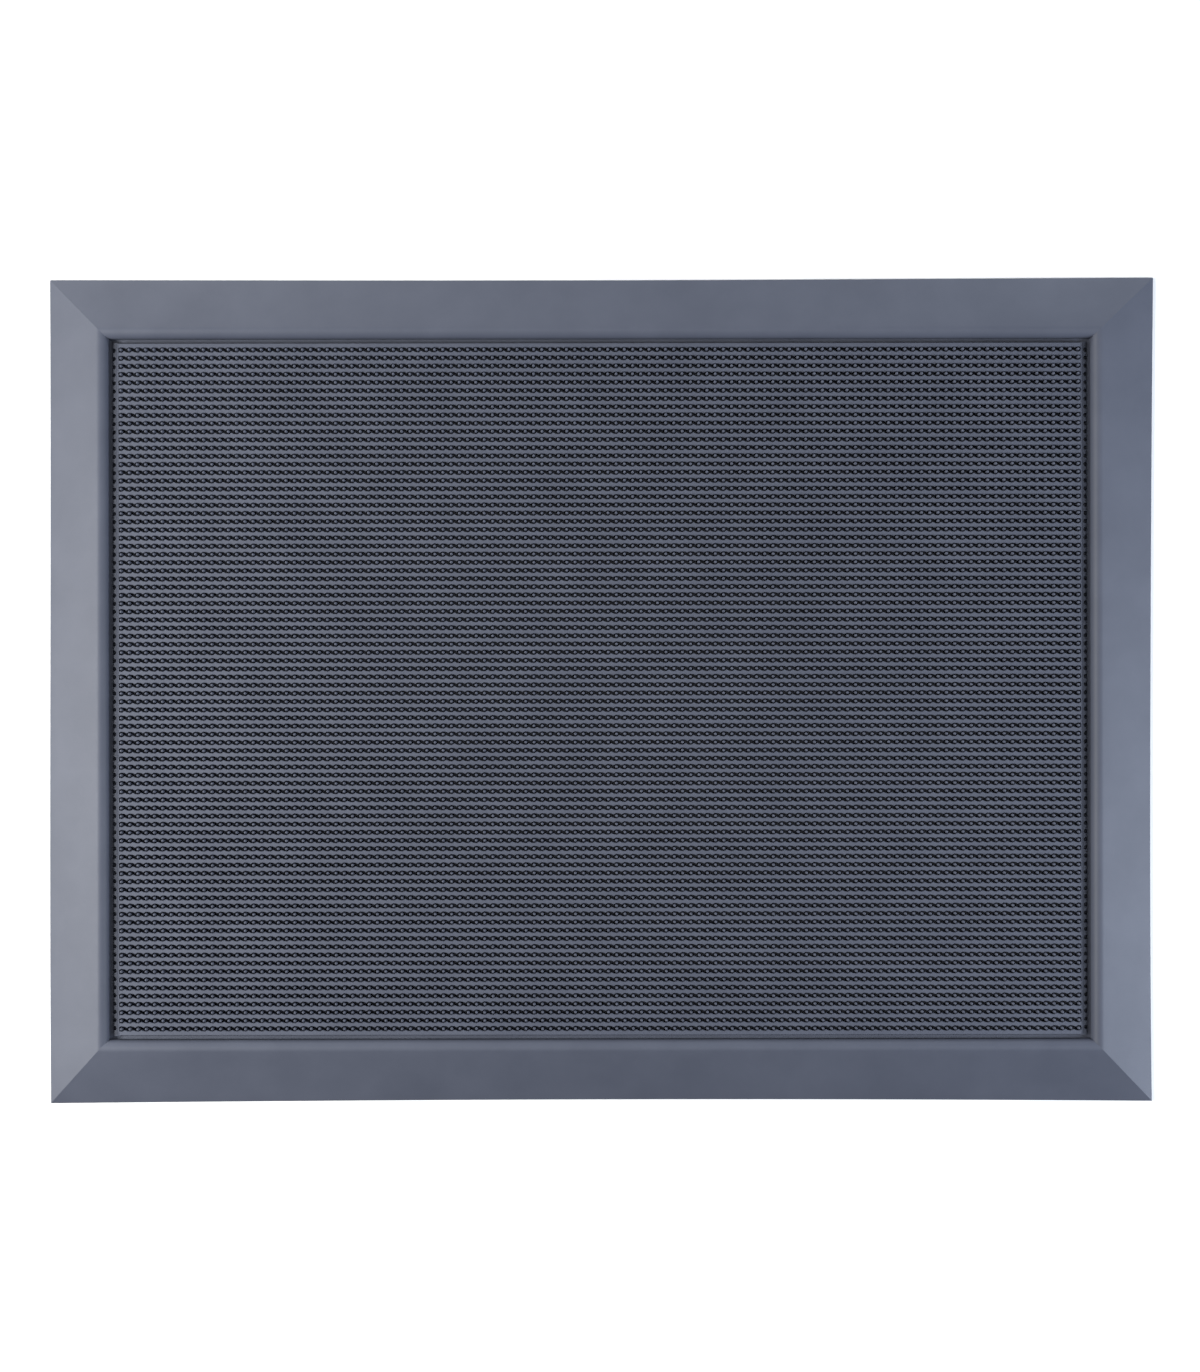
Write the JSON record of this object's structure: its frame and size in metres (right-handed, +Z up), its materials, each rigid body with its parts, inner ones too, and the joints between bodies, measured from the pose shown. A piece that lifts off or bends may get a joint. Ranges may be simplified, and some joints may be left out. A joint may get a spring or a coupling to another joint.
{
  "type": "door mat",
  "caption": "Rectangular moulded rubber scraper mat: rows of conical studs stand in grooves between flat ribs, inside a bevelled border with a rounded shoulder.",
  "frame": {"origin": "centre of the flat underside, where the mat rests on the floor", "axes": "+X along the long side and the ribs, +Y across towards the rear long side, +Z up through the mat"},
  "size_m": [0.8, 0.597, 0.016],
  "materials": {
    "border_rubber": "matte press-moulded rubber, slate grey",
    "tread_rubber": "matte press-moulded rubber, slate grey",
    "sheet_rubber": "matte press-moulded rubber, slate grey"
  },
  "bodies": {
    "root": {"base_sheet": "sheet_rubber", "border_front": "border_rubber", "border_rear": "border_rubber", "border_left": "border_rubber", "border_right": "border_rubber", "end_ledge_left": "tread_rubber", "end_ledge_right": "tread_rubber", "stud_strip_01": "tread_rubber", "stud_strip_02": "tread_rubber", "stud_strip_03": "tread_rubber", "stud_strip_04": "tread_rubber", "stud_strip_05": "tread_rubber", "stud_strip_06": "tread_rubber", "stud_strip_07": "tread_rubber", "stud_strip_08": "tread_rubber", "stud_strip_09": "tread_rubber", "stud_strip_10": "tread_rubber", "stud_strip_11": "tread_rubber", "stud_strip_12": "tread_rubber", "rib_bank_01": "tread_rubber", "rib_bank_02": "tread_rubber", "rib_bank_03": "tread_rubber", "rib_bank_04": "tread_rubber", "rib_bank_05": "tread_rubber", "rib_bank_06": "tread_rubber", "rib_bank_07": "tread_rubber", "rib_bank_08": "tread_rubber", "rib_bank_09": "tread_rubber", "rib_bank_10": "tread_rubber", "rib_bank_11": "tread_rubber", "rib_bank_12": "tread_rubber"}
  },
  "joints": []
}
